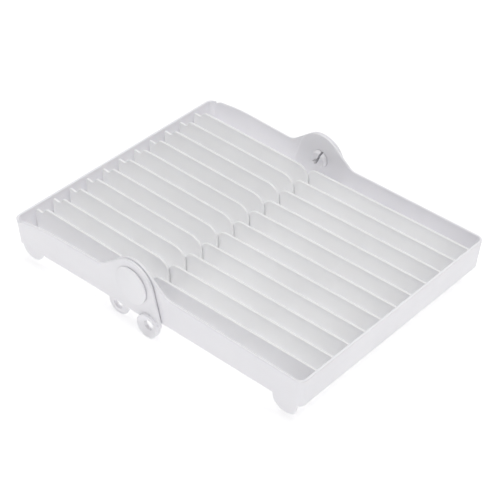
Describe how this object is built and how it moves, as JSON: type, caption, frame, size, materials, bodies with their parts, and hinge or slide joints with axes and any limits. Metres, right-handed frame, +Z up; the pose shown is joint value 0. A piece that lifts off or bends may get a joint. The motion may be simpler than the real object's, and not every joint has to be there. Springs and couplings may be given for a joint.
{
  "type": "folding plate drying rack",
  "caption": "Two ribbed trays of white moulded plastic on one hinge line, which open flat to hold plates on edge and fold over each other.",
  "frame": {"origin": "middle of the rack's box on the surface it stands on, with the trays opened flat", "axes": "+X along the hinge line, +Y towards the shorter rear tray, +Z up"},
  "size_m": [0.2524, 0.3184, 0.0674],
  "materials": {
    "white_pp_wall": "satin moulded polypropylene",
    "white_pp_vane": "satin moulded polypropylene",
    "white_pp_pin": "satin moulded polypropylene"
  },
  "bodies": {
    "rear": {"rear_end_wall": "white_pp_wall", "rear_hinge_ear_near": "white_pp_wall", "rear_hinge_ear_far": "white_pp_wall", "rear_side_wall_near": "white_pp_wall", "rear_side_wall_far": "white_pp_wall", "rear_lug_near": "white_pp_wall", "rear_lug_far": "white_pp_wall", "rear_vane_01": "white_pp_vane", "rear_vane_02": "white_pp_vane", "rear_vane_03": "white_pp_vane", "rear_vane_04": "white_pp_vane", "rear_vane_05": "white_pp_vane", "rear_vane_06": "white_pp_vane", "rear_vane_07": "white_pp_vane", "rear_vane_08": "white_pp_vane", "rear_vane_09": "white_pp_vane", "rear_vane_10": "white_pp_vane", "rear_vane_11": "white_pp_vane", "rear_rail_1": "white_pp_vane", "rear_rail_2": "white_pp_vane", "rear_rail_3": "white_pp_vane", "snap_pin_near": "white_pp_pin", "snap_pin_far": "white_pp_pin"},
    "front": {"front_end_wall": "white_pp_wall", "front_hinge_ear_near": "white_pp_wall", "front_hinge_ear_far": "white_pp_wall", "front_side_wall_near": "white_pp_wall", "front_side_wall_far": "white_pp_wall", "front_lug_near": "white_pp_wall", "front_lug_far": "white_pp_wall", "front_vane_01": "white_pp_vane", "front_vane_02": "white_pp_vane", "front_vane_03": "white_pp_vane", "front_vane_04": "white_pp_vane", "front_vane_05": "white_pp_vane", "front_vane_06": "white_pp_vane", "front_vane_07": "white_pp_vane", "front_vane_08": "white_pp_vane", "front_vane_09": "white_pp_vane", "front_vane_10": "white_pp_vane", "front_vane_11": "white_pp_vane", "front_rail_1": "white_pp_vane", "front_rail_2": "white_pp_vane", "front_rail_3": "white_pp_vane"}
  },
  "joints": [
    {"name": "fold", "type": "hinge", "parent": "rear", "child": "front", "pos_m": [0, 0.01885, 0.0428], "axis": [-1, 0, 0], "range_deg": [0, 180]}
  ]
}
